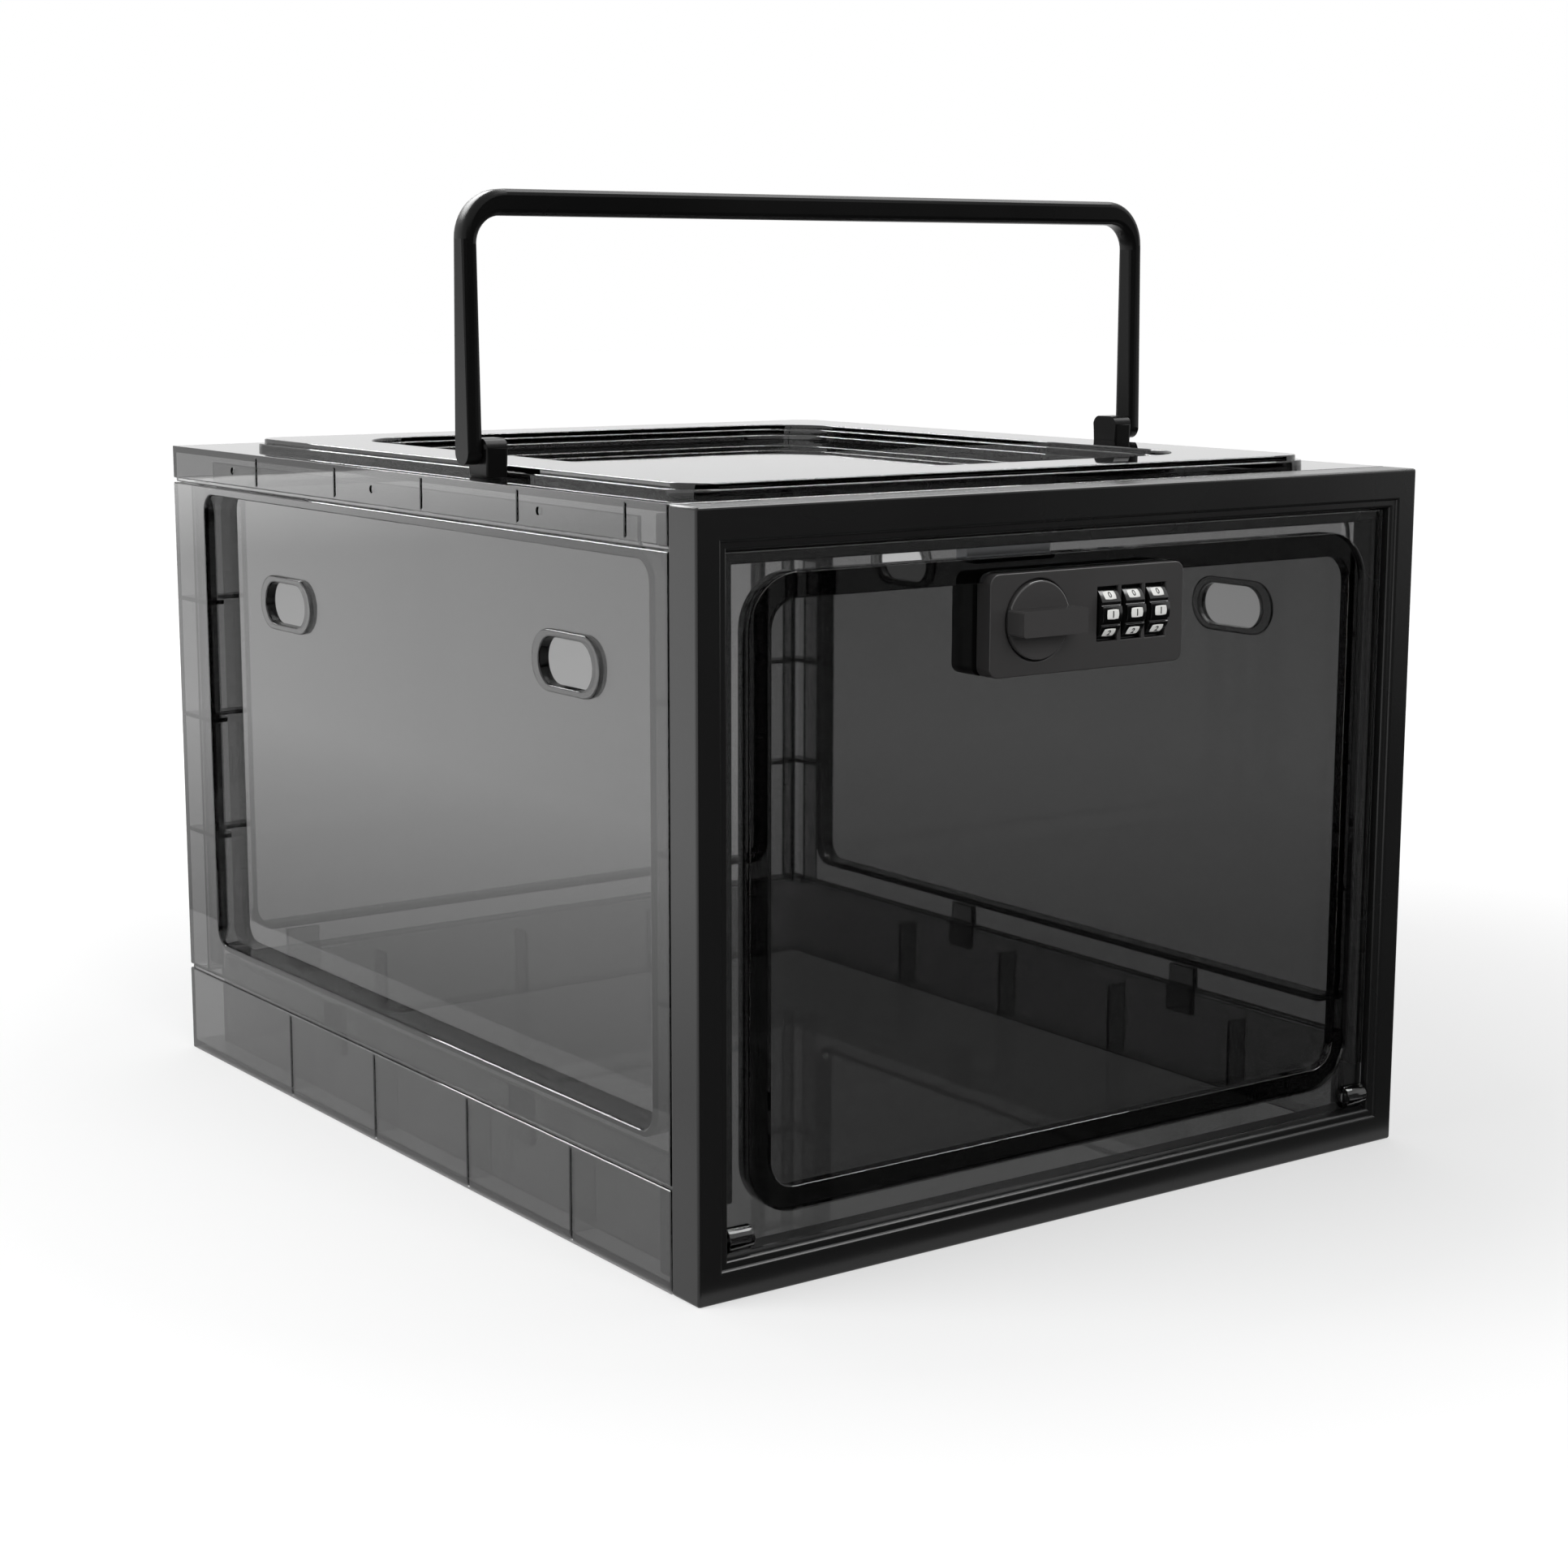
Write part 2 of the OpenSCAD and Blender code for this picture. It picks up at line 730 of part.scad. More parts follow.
// Front frame: a picture frame with a stepped mouth, a stop ledge for the door and tongues at its back
module front_frame() {
    color(black)
        from_front() {
            difference() {
                across_y(0, frame_d)
                    translate([-half_w, 0])
                        square([box_w, box_h]);
                across_y(-cut, mouth_deep)
                    translate([-open_w / 2 - mouth_w, open_z0 - mouth_w])
                        square([open_w + 2 * mouth_w, open_z1 - open_z0 + 2 * mouth_w]);
                across_y(-cut, stop_set)
                    translate([-open_w / 2, open_z0])
                        square([open_w, open_z1 - open_z0]);
                across_y(-cut, frame_d + cut)
                    translate([-open_w / 2 + stop_w, open_z0])
                        square([open_w - 2 * stop_w, open_z1 - open_z0 - stop_w]);
                across_y(-cut, frame_d + cut)
                    translate([-open_w / 2, open_z0])
                        square([open_w, stop_relief]);
                both_sides()
                    translate([open_w / 2, hinge_set, hinge_z])
                        rod_x(-cut, hinge_pin_in, hinge_pin_d / 2 + press_fit);
                at_strike_screws()
                    rod_y(frame_d - strike_screw_bore, frame_d + cut, lock_screw_d / 2 + thread_fit);
            }
            both_sides() {
                frame_tongue(floor_t + tongue_gap, base_h - tongue_gap);
                frame_tongue(lid_z + tongue_gap, box_h - lid_t - tongue_gap);
            }
        }
}

// One tongue at the back of the frame, which slides in behind a skirt
module frame_tongue(z0, z1) {
    x1 = half_w - skirt_t - tongue_gap;
    block([x1 - tongue_t, frame_d - cut, z0], [x1, frame_d + tongue_l, z1]);
}

// Positions of the strike plate's two screws, in the frame's own Y
module at_strike_screws() {
    for (s = [-1, 1])
        translate([-knob_x + s * strike_screw_dx, 0, strike_screw_z])
            children();
}

// Strike plate behind the frame's top bar, which the latch cam turns behind
module strike_plate() {
    color(steel)
        from_front()
            difference() {
                across_y(frame_d + thread_fit, strike_y1)
                    translate([-knob_x, (strike_z0 + strike_z1) / 2])
                        rounded(strike_w, strike_z1 - strike_z0, strike_r);
                at_strike_screws() {
                    rod_y(frame_d, strike_y1 + cut, lock_screw_d / 2 + screw_play);
                    rod_y(strike_y1 - lock_head_h, strike_y1 + cut, lock_head_d / 2 + screw_play);
                }
            }
}

module strike_screws() {
    color(steel)
        from_front()
            at_strike_screws()
                screw_y(strike_y1 - touch, frame_d - strike_screw_grip);
}

// A pan screw along Y, from its head at the back to its tip at the front
module screw_y(head_back, tip) {
    difference() {
        union() {
            rod_y(head_back - lock_head_h + touch, head_back, lock_head_d / 2);
            rod_y(tip, head_back - lock_head_h + touch + cut, lock_screw_d / 2);
        }
        cross_slot(head_back);
    }
}

// Crossed slots in the end of a screw's head
module cross_slot(head_back) {
    for (a = [0, 90])
        rotate([0, a, 0])
            block([-cross_l / 2, head_back - cross_deep, -cross_w / 2],
                  [cross_l / 2, head_back + cut, cross_w / 2]);
}

// Positions of the four bracket screws
module at_bracket_screws() {
    for (sx = [-1, 1], sy = [-1, 1])
        translate([sx * bracket_screw_x, pivot_y + sy * bracket_screw_dy, 0])
            children();
}

// Brackets that stand on the lid's ledge and hold the handle's pins
module handle_brackets() {
    color(black)
        both_sides()
            difference() {
                translate([0, pivot_y, box_h])
                    across_x(bracket_x0, bracket_x1)
                        arch(bracket_l / 2, bracket_top - box_h, bracket_top_r, 0);
                translate([0, pivot_y, pivot_z])
                    rod_x(bracket_x0 + pin_stop, bracket_x1 + cut, pivot_d / 2 + press_fit);
                at_bracket_screws()
                    rod_z(box_h - cut, bracket_screw_z1, bracket_screw_d / 2 + press_fit);
            }
}

module bracket_screws() {
    head_z = box_h - lid_t - thread_fit;
    color(steel)
        at_bracket_screws() {
            rod_z(head_z - bracket_head_h, head_z, bracket_head_d / 2);
            rod_z(head_z - cut, bracket_screw_z1 - pin_end_gap, bracket_screw_d / 2);
        }
}

module handle_pins() {
    color(steel)
        both_sides()
            translate([0, pivot_y, pivot_z])
                rod_x(bracket_x0 + pin_stop + touch, leg_x0 + pivot_bore - pin_end_gap, pivot_d / 2);
}

module door_hinge_pins() {
    color(black)
        both_sides()
            translate([0, front_y + hinge_set, hinge_z])
                rod_x(door_w / 2 - knuckle_l + pin_end_gap, open_w / 2 + hinge_pin_in - touch,
                      hinge_pin_d / 2);
}

// Flat outline with round upper corners and square lower ones
module arch(half, top, r, low) {
    translate([-half, low])
        square([2 * half, top - r - low]);
    translate([-half + r, low])
        square([2 * (half - r), top - low]);
    for (s = [-1, 1])
        translate([s * (half - r), top - r])
            circle(r);
}

// Folding handle: one bar on two legs with round feet, bored for the pins
module handle() {
    color(black)
        difference() {
            union() {
                translate([0, pivot_y, 0])
                    across_y(-handle_depth / 2, handle_depth / 2)
                        difference() {
                            arch(leg_x1, handle_z1, handle_r, pivot_z);
                            arch(leg_x0, handle_z1 - bar_h, handle_r - bar_h / 2 - leg_t / 2,
                                 pivot_z - cut);
                        }
                both_sides()
                    translate([0, pivot_y, pivot_z])
                        rod_x(leg_x0, leg_x1, handle_depth / 2);
            }
            both_sides()
                translate([0, pivot_y, pivot_z])
                    rod_x(leg_x0 - cut, leg_x0 + pivot_bore, pivot_d / 2 + run_fit);
        }
}

// Outline of the rib round the door's sunk panel, drawn in by an inset
module tray_outline(inset) {
    h = tray_z1 - tray_z0;
    translate([0, tray_z0 + h / 2])
        rounded(tray_w - 2 * inset, h - 2 * inset, tray_r - inset);
}

// Positions of the lock's four screws
module at_lock_screws() {
    for (sx = [-1, 1], sz = [-1, 1])
        translate([sx * boss_x, 0, sz * boss_z])
            children();
}

// Door: thin border, stiff rib, sunk panel, hinge knuckles and the room for the lock
module door_panel() {
    color(smoke)
        difference() {
            from_front() {
                across_y(border_set, border_set + border_t)
                    difference() {
                        translate([-door_w / 2, door_z0])
                            square([door_w, door_z1 - door_z0]);
                        tray_outline(hoop_w / 2);
                    }
                across_y(hoop_y, sunk_back)
                    difference() {
                        tray_outline(0);
                        tray_outline(hoop_w);
                    }
                across_y(sunk_set, sunk_back)
                    tray_outline(hoop_w / 2);
                both_sides()
                    translate([door_w / 2, hinge_set, hinge_z])
                        rod_x(-knuckle_l, 0, knuckle_r);
            }
            both_sides()
                translate([door_w / 2, front_y + hinge_set, hinge_z])
                    rod_x(-knuckle_l, cut, hinge_pin_d / 2 + run_fit);
            at_lock() {
                across_y(hoop_y - cut, sunk_set)
                    lock_outline(-pass_gap);
                across_y(sunk_set - cut, sunk_back + cut)
                    lock_opening();
                at_lock_screws()
                    rod_y(sunk_set - cut, sunk_back + cut, lock_screw_d / 2 + pass_gap);
            }
        }
}

// Opening in the door behind the lock: tall for the wheels, wide for the cheeks of their axle
module lock_opening() {
    translate([0, axis_up]) {
        square([2 * (boss_x - boss_r - pass_gap), 2 * (wheel_r + pass_gap)], center = true);
        square([2 * (cheek_high + cheek_t + pass_gap), 2 * (cheek_r + pass_gap)], center = true);
    }
}

// Outline of the lock's casing, drawn in by an inset
module lock_outline(inset) {
    rounded(lock_w - 2 * inset, lock_h - 2 * inset, lock_r - inset);
}

// Front casing of the lock: face, side walls, knob seat, wheel windows and screw bosses
module lock_face() {
    color(black)
        at_lock()
            difference() {
                union() {
                    difference() {
                        across_y(face_y, face_back)
                            lock_outline(0);
                        across_y(face_y + face_t, face_back + cut)
                            lock_outline(case_t);
                    }
                    translate([-knob_x, 0, axis_up])
                        rod_y(face_y + face_t / 2, cup_y + cup_t, knob_r + knob_gap + cup_wall);
                    intersection() {
                        at_lock_screws()
                            rod_y(face_y + face_t / 2, face_back, boss_r);
                        across_y(face_y, face_back)
                            lock_outline(0);
                    }
                }
                translate([-knob_x, 0, axis_up]) {
                    rod_y(face_y - cut, cup_y, knob_r + knob_gap);
                    rod_y(face_y, cup_y + cup_t + cut, shaft_r + run_fit);
                }
                for (x = wheel_xs)
                    translate([x, 0, axis_up])
                        across_y(face_y - cut, face_y + face_t + cut)
                            square([wheel_w + 2 * pass_gap, slot_h], center = true);
                at_lock_screws()
                    rod_y(face_y + face_t, face_back + cut, lock_screw_d / 2 + thread_fit);
            }
}

// Rear casing of the lock: box, screw bosses, shaft bearing, axle cheeks and button shelf
module lock_rear_cover() {
    inner_back = rear_back - rear_t;
    color(black)
        at_lock()
            difference() {
                union() {
                    difference() {
                        across_y(rear_y, rear_back)
                            lock_outline(0);
                        across_y(rear_y - cut, inner_back)
                            lock_outline(case_t);
                    }
                    intersection() {
                        at_lock_screws()
                            rod_y(rear_y, rear_back, head_boss_r);
                        across_y(rear_y, rear_back)
                            lock_outline(0);
                    }
                    for (x = [cheek_low, cheek_high])
                        translate([x, 0, axis_up])
                            across_x(0, cheek_t)
                                axle_cheek(inner_back + cut);
                    reset_shelf(inner_back + cut);
                }
                translate([-knob_x, 0, axis_up])
                    rod_y(inner_back - cut, rear_back + cut, shaft_r + run_fit);
                translate([0, wheel_y, axis_up])
                    rod_x(cheek_low - cut, cheek_high + cheek_t + cut, axle_d / 2 + press_fit);
                at_lock_screws() {
                    rod_y(rear_y - cut, rear_back + cut, lock_screw_d / 2 + screw_play);
                    rod_y(rear_back - lock_head_h, rear_back + cut, lock_head_d / 2 + screw_play);
                }
                translate([reset_x, reset_y, -lock_h / 2])
                    rod_z(-cut, case_t + cut, reset_d / 2 + run_fit);
            }
}

// Side view of a cheek that carries the axle: a strap with a round front end
module axle_cheek(back) {
    translate([wheel_y, -cheek_r])
        square([back - wheel_y, 2 * cheek_r]);
    translate([wheel_y, 0])
        circle(cheek_r);
}

// Shelf above the reset button's spring
module reset_shelf(back) {
    z = reset_spring_z + reset_spring_l + touch - lock_z;
    half = reset_flange_r + shelf_wing;
    block([reset_x - half, reset_y - reset_flange_r, z], [reset_x + half, back, z + shelf_t]);
}

module lock_screws() {
    tip_gap = 1.2;
    color(steel)
        at_lock()
            at_lock_screws()
                screw_y(rear_back - touch, face_y + face_t + tip_gap);
}

module wheel_axle() {
    color(steel)
        at_lock()
            translate([0, wheel_y, axis_up])
                rod_x(cheek_low, cheek_high + cheek_t, axle_d / 2);
}

// Leaf under the roof of the rear cover, with a round nub above each wheel
module detent_spring() {
    leaf_t = 0.6;
    nub_w = 3;
    nub_l = 1.8;
    nub_y = rear_y + touch;
    roof = lock_h / 2 - case_t - touch;
    wheel_top = axis_up + sqrt(pow(wheel_r, 2) - pow(nub_y - wheel_y, 2));
    color(steel)
        at_lock() {
            block([wheel_xs[0] - wheel_w / 2, nub_y, roof - leaf_t],
                  [inner_x1, rear_back - rear_t - pass_gap, roof]);
            for (x = wheel_xs)
                translate([x, nub_y, 0])
                    block([-nub_w / 2, 0, min(wheel_top + pass_gap, roof - leaf_t)],
                          [nub_w / 2, nub_l, roof - leaf_t / 2]);
        }
}

// Bar below the wheels with a finger at each sleeve's flange and a tail beside the shaft
module locking_bar() {
    tail_gap = 1.2;
    tail_w = 2;
    low = -lock_h / 2 + case_t + 3 * touch;
    wheel_low = axis_up - wheel_r;
    flange_low = axis_up - sqrt(pow(flange_r, 2) - pow(bar_y - wheel_y, 2));
    tail_x = -knob_x + shaft_r + tail_gap;
    bar_back = bar_y + bar_t;
    color(steel)
        at_lock() {
            block([tail_x, bar_y, low], [inner_x1, bar_back, wheel_low - pass_gap]);
            block([tail_x, bar_y, low], [tail_x + tail_w, bar_back, axis_up]);
            for (x = wheel_xs)
                block([x + flange_x, bar_y, low],
                      [x - wheel_w / 2 - pass_gap, bar_back, flange_low - pass_gap]);
        }
}

// A digit wheel: a drum with a groove between neighbouring digits, and one digit straight at the front
module digit_wheel(x) {
    color(black)
        at_lock()
            translate([x, wheel_y, axis_up])
                difference() {
                    rod_x(-wheel_w / 2, wheel_w / 2, wheel_r);
                    rod_x(-wheel_w / 2 - cut, wheel_w / 2 + cut, sleeve_r + press_fit);
                    for (i = [0 : digits - 1])
                        rotate([i * 360 / digits, 0, 0])
                            translate([0, 0, wheel_r])
                                rod_x(-wheel_w / 2 - cut, wheel_w / 2 + cut, groove_d / 2);
                }
}

module digit_wheel_1() {
    digit_wheel(wheel_xs[0]);
}

module digit_wheel_2() {
    digit_wheel(wheel_xs[1]);
}

module digit_wheel_3() {
    digit_wheel(wheel_xs[2]);
}

// A code sleeve: a bush on the axle, with a flange at its left that has one gate
module code_sleeve(x) {
    flange_x1 = flange_x + flange_t;
    color(steel)
        at_lock()
            translate([x, wheel_y, axis_up])
                difference() {
                    union() {
                        rod_x(flange_x, wheel_w / 2, sleeve_r);
                        rod_x(flange_x, flange_x1, flange_r);
                    }
                    rod_x(flange_x - cut, wheel_w / 2 + cut, axle_d / 2 + run_fit);
                    block([flange_x - cut, gate_y - gate_w / 2, -flange_r - cut],
                          [flange_x1 + cut, gate_y + gate_w / 2, -gate_top]);
                }
}

module code_sleeve_1() {
    code_sleeve(wheel_xs[0]);
}

module code_sleeve_2() {
    code_sleeve(wheel_xs[1]);
}

module code_sleeve_3() {
    code_sleeve(wheel_xs[2]);
}

// Knob: disc, grip, round shaft and square end
module knob() {
    disc_y = face_y - knob_proud;
    disc_back = cup_y - disc_gap;
    grip_r = 0.8;
    color(black)
        at_lock(-knob_x, axis_up)
            difference() {
                union() {
                    rod_y(disc_y, disc_back, knob_r);
                    across_y(disc_y - grip_h, disc_y + cut)
                        rounded(grip_l, grip_w, grip_r);
                    rod_y(disc_back - cut, cam_y - touch, shaft_r);
                    across_y(cam_y - touch - cut, cam_y + cam_t - touch)
                        square(square_w, center = true);
                }
                rod_y(cam_y - cam_screw_l - pin_end_gap, cam_y + cam_t + cut,
                      lock_screw_d / 2 + thread_fit);
            }
}

// Latch cam on the square end of the knob's shaft, lying behind the casing when it is open
module latch_cam() {
    color(steel)
        at_lock(-knob_x, axis_up)
            difference() {
                across_y(cam_y, cam_y + cam_t) {
                    circle(cam_w / 2 + cam_hub_lip);
                    translate([cam_reach / 2, 0])
                        rounded(cam_reach, cam_w, cam_tip_r);
                }
                across_y(cam_y - cut, cam_y + cam_t + cut)
                    square(square_w + 2 * run_fit, center = true);
            }
}

module cam_screw() {
    head_y = cam_y + cam_t + thread_fit;
    head_r = square_w / sqrt(2) + screw_play;
    color(steel)
        at_lock(-knob_x, axis_up) {
            difference() {
                rod_y(head_y, head_y + lock_head_h, head_r);
                cross_slot(head_y + lock_head_h);
            }
            rod_y(cam_y - cam_screw_l, head_y + cut, lock_screw_d / 2);
        }
}

// Code reset button under the rear cover, pressed upwards
module reset_button() {
    color(black)
        translate([reset_x, front_y + reset_y, 0]) {
            rod_z(reset_z0 - reset_travel - reset_gap, reset_flange_z + cut, reset_d / 2);
            rod_z(reset_flange_z, reset_flange_z + reset_flange_t, reset_flange_r);
        }
}

// Return spring of the reset button, as the sleeve that its coils fill
module reset_spring() {
    color(steel)
        translate([reset_x, front_y + reset_y, 0])
            difference() {
                rod_z(reset_spring_z, reset_spring_z + reset_spring_l, reset_flange_r - touch);
                rod_z(reset_spring_z - cut, reset_spring_z + reset_spring_l + cut, reset_d / 2);
            }
}

base_tray();
left_wall();
right_wall();
back_wall();
lid();
front_frame();
strike_plate();
strike_screws();
handle_brackets();
bracket_screws();
handle_pins();
door_hinge_pins();
handle();
door_panel();
lock_face();
lock_rear_cover();
lock_screws();
wheel_axle();
detent_spring();
locking_bar();
digit_wheel_1();
digit_wheel_2();
digit_wheel_3();
code_sleeve_1();
code_sleeve_2();
code_sleeve_3();
knob();
latch_cam();
cam_screw();
reset_button();
reset_spring();
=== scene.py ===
"""Looks of a lockable storage box: smoke-tinted clear walls, a black front frame and handle, and a lock
with digit wheels.

Lengths of the box are in millimetres and become metres when a mesh is made. The studio round it is in metres.
X is right, Y is back, Z is up.
"""
import json

import bmesh
import bpy
import numpy as np
from mathutils import Matrix, Vector


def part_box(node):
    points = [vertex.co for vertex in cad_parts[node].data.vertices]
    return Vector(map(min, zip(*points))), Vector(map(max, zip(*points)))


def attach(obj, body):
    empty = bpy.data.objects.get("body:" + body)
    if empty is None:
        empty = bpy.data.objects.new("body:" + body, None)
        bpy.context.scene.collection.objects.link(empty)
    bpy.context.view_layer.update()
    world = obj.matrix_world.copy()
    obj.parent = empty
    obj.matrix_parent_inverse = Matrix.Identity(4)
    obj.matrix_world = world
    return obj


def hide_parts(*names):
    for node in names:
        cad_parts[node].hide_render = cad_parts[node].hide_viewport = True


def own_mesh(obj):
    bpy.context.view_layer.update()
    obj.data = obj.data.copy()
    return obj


MM = 0.001
WHITE = "#FFFFFF"

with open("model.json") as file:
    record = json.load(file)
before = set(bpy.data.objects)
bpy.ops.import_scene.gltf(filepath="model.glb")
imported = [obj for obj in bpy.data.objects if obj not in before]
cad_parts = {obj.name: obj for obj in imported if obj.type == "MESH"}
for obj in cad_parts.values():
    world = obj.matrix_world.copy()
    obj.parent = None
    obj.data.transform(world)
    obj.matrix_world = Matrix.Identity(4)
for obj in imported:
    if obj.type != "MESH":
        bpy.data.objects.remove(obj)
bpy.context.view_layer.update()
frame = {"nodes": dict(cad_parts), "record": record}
scene = bpy.context.scene
scene.view_settings.view_transform = "Standard"


def linear(hex_colour):
    """sRGB hex to linear RGBA: c / 12.92 up to 0.04045, else ((c + 0.055) / 1.055) ** 2.4."""
    c = np.array([int(hex_colour[i:i + 2], 16) for i in (1, 3, 5)]) / 255
    value = np.where(c <= 0.04045, c / 12.92, ((c + 0.055) / 1.055) ** 2.4)
    return (*value.tolist(), 1.0)


def add(tree, kind, inputs=None, **settings):
    """Adds a node, sets its properties, and sets or links its inputs by name or number."""
    made = tree.nodes.new(kind)
    for name, value in settings.items():
        setattr(made, name, value)
    for key, value in (inputs or {}).items():
        if isinstance(value, bpy.types.NodeSocket):
            tree.links.new(value, made.inputs[key])
        else:
            made.inputs[key].default_value = value
    return made


def new_tree(name):
    """An empty material and its node tree."""
    made = bpy.data.materials.new(name)
    made.use_nodes = True
    made.node_tree.nodes.clear()
    return made, made.node_tree


# ---- Finishes of the box ----

def smoke_polystyrene():
    """Clear polystyrene with a smoke dye, from a polished mould: sharp reflections that waver a little
    with the flow of the melt, and light lost with the length of its way through, so edges look black."""
    made, tree = new_tree("smoke_polystyrene")
    place = add(tree, "ShaderNodeTexCoord").outputs["Object"]
    flow = add(tree, "ShaderNodeTexNoise", {"Vector": place, "Scale": 1 / (45 * MM), "Detail": 1.0})
    waver = add(tree, "ShaderNodeBump", {
        "Height": flow.outputs["Fac"], "Strength": 0.05, "Distance": 1 * MM})
    shell = add(tree, "ShaderNodeBsdfPrincipled", {
        "Base Color": linear(WHITE), "Roughness": 0.02, "IOR": 1.57, "Transmission Weight": 1.0,
        "Normal": waver.outputs["Normal"]})
    dye = add(tree, "ShaderNodeVolumeAbsorption", {"Color": linear("#BCBCBC"), "Density": 1000.0})
    add(tree, "ShaderNodeOutputMaterial", {"Surface": shell.outputs[0], "Volume": dye.outputs[0]})
    return made


def satin_abs(name, colour, roughness, grain_mm, specular=0.5):
    """ABS, dyed black or charcoal, from an etched mould: a satin whose fine grain breaks up the highlights
    and whose shine drifts a little over a hand's width. The grain is drawn coarser than a real one, which
    would not show from a step away."""
    made, tree = new_tree(name)
    place = add(tree, "ShaderNodeTexCoord").outputs["Object"]
    grain = add(tree, "ShaderNodeTexNoise", {"Vector": place, "Scale": 1 / (grain_mm * MM), "Detail": 3.0})
    cloud = add(tree, "ShaderNodeTexNoise", {"Vector": place, "Scale": 1 / (60 * MM), "Detail": 2.0})
    rough = add(tree, "ShaderNodeMapRange", {
        "Value": cloud.outputs["Fac"], "From Min": 0.3, "From Max": 0.7,
        "To Min": roughness - 0.05, "To Max": roughness + 0.05})
    etch = add(tree, "ShaderNodeBump", {
        "Height": grain.outputs["Fac"], "Strength": 0.12, "Distance": 0.1 * MM})
    shell = add(tree, "ShaderNodeBsdfPrincipled", {
        "Base Color": linear(colour), "Roughness": rough.outputs[0], "IOR": 1.53,
        "Specular IOR Level": specular, "Normal": etch.outputs["Normal"]})
    add(tree, "ShaderNodeOutputMaterial", {"Surface": shell.outputs[0]})
    return made


def zinc_plate():
    """Zinc-plated steel, drawn and tumbled: grey metal with a fine streak along X and a soft shine. The
    streak is drawn coarser than a real one."""
    made, tree = new_tree("zinc_plate")
    place = add(tree, "ShaderNodeTexCoord").outputs["Object"]
    along = add(tree, "ShaderNodeMapping", {"Vector": place, "Scale": (0.08, 1.0, 1.0)})
    streak = add(tree, "ShaderNodeTexNoise", {
        "Vector": along.outputs[0], "Scale": 1 / (0.6 * MM), "Detail": 2.0})
    rough = add(tree, "ShaderNodeMapRange", {"Value": streak.outputs["Fac"], "To Min": 0.22, "To Max": 0.42})
    shell = add(tree, "ShaderNodeBsdfPrincipled", {
        "Base Color": linear("#C3C5C8"), "Metallic": 1.0, "Roughness": rough.outputs[0]})
    add(tree, "ShaderNodeOutputMaterial", {"Surface": shell.outputs[0]})
    return made


def printed_ink(name, colour, roughness):
    """Pad-printed ink: a thin, slightly uneven coat that is duller than the plastic under it."""
    made, tree = new_tree(name)
    place = add(tree, "ShaderNodeTexCoord").outputs["Object"]
    coat = add(tree, "ShaderNodeTexNoise", {"Vector": place, "Scale": 1 / (0.8 * MM), "Detail": 2.0})
    rough = add(tree, "ShaderNodeMapRange", {
        "Value": coat.outputs["Fac"], "To Min": roughness - 0.08, "To Max": roughness + 0.08})
    uneven = add(tree, "ShaderNodeBump", {
        "Height": coat.outputs["Fac"], "Strength": 0.15, "Distance": 0.02 * MM})
    shell = add(tree, "ShaderNodeBsdfPrincipled", {
        "Base Color": linear(colour), "Roughness": rough.outputs[0], "Normal": uneven.outputs["Normal"]})
    add(tree, "ShaderNodeOutputMaterial", {"Surface": shell.outputs[0]})
    return made


FINISHES = {
    "smoke_plastic": smoke_polystyrene(),
    "black_plastic": satin_abs("satin_black_abs", "#1B1B1B", roughness=0.26, grain_mm=0.9, specular=0.35),
    "lock_plastic": satin_abs("satin_charcoal_abs", "#393838", roughness=0.40, grain_mm=0.7),
    "wheel_plastic": satin_abs("gloss_black_abs", "#0C0C0C", roughness=0.18, grain_mm=1.2),
    "zinc_steel": zinc_plate(),
}
# Mouldings of their slot's plastic whose mould has another polish; the knob's colour is also drawn lighter
# than the lock's plastic, a painted lift of light
OWN_FINISH = {
    "handle": satin_abs("dull_black_abs", "#0E0E0E", roughness=0.30, grain_mm=0.9, specular=0.12),
    # Knob: a lighter charcoal than the lock face, painted light on its front and ends
    "knob": satin_abs("polished_charcoal_abs_painted_light", "#444343", roughness=0.15, grain_mm=0.9),
}
OWN_FINISH["handle_brackets"] = OWN_FINISH["handle"]
WHITE_INK = printed_ink("white_pad_ink", "#EDEDEA", roughness=0.45)
BLACK_INK = printed_ink("black_pad_ink", "#121212", roughness=0.40)


# ---- Rounded edges of the nodes ----

# Edge radius of each moulding or stamping, and its shortest rounded edge, in mm
EDGES = {"front_frame": (0.8, 0.25), "handle": (1.8, 0.8), "handle_brackets": (0.8, 0.5), "knob": (0.5, 0.5),
         "lock_face": (0.3, 0.25), "lock_rear_cover": (0.4, 0.5), "door_panel": (0.3, 0.25),
         "base_tray": (0.45, 0.25), "left_wall": (0.45, 0.25), "right_wall": (0.45, 0.25),
         "back_wall": (0.2, 0.25), "lid": (0.45, 0.25)}
OTHER_EDGES = (0.1, 0.25)
EDGE_STEPS = 3
OUTER_DEG = 40                  # edges that turn outwards by more than this are rounded
CURVE_DEG, CURVE_MM2 = 35, 25   # faces below this area are smooth over edges that turn by less than this
WELD_MM, FLAT_DEG = 0.002, 0.5  # points this close are one, and faces this parallel are one


def geometry_group(name):
    """An empty geometry node group and the mesh that comes into it."""
    group = bpy.data.node_groups.new(name, "GeometryNodeTree")
    for way in ("INPUT", "OUTPUT"):
        group.interface.new_socket("Geometry", in_out=way, socket_type="NodeSocketGeometry")
    return group, add(group, "NodeGroupInput").outputs[0]


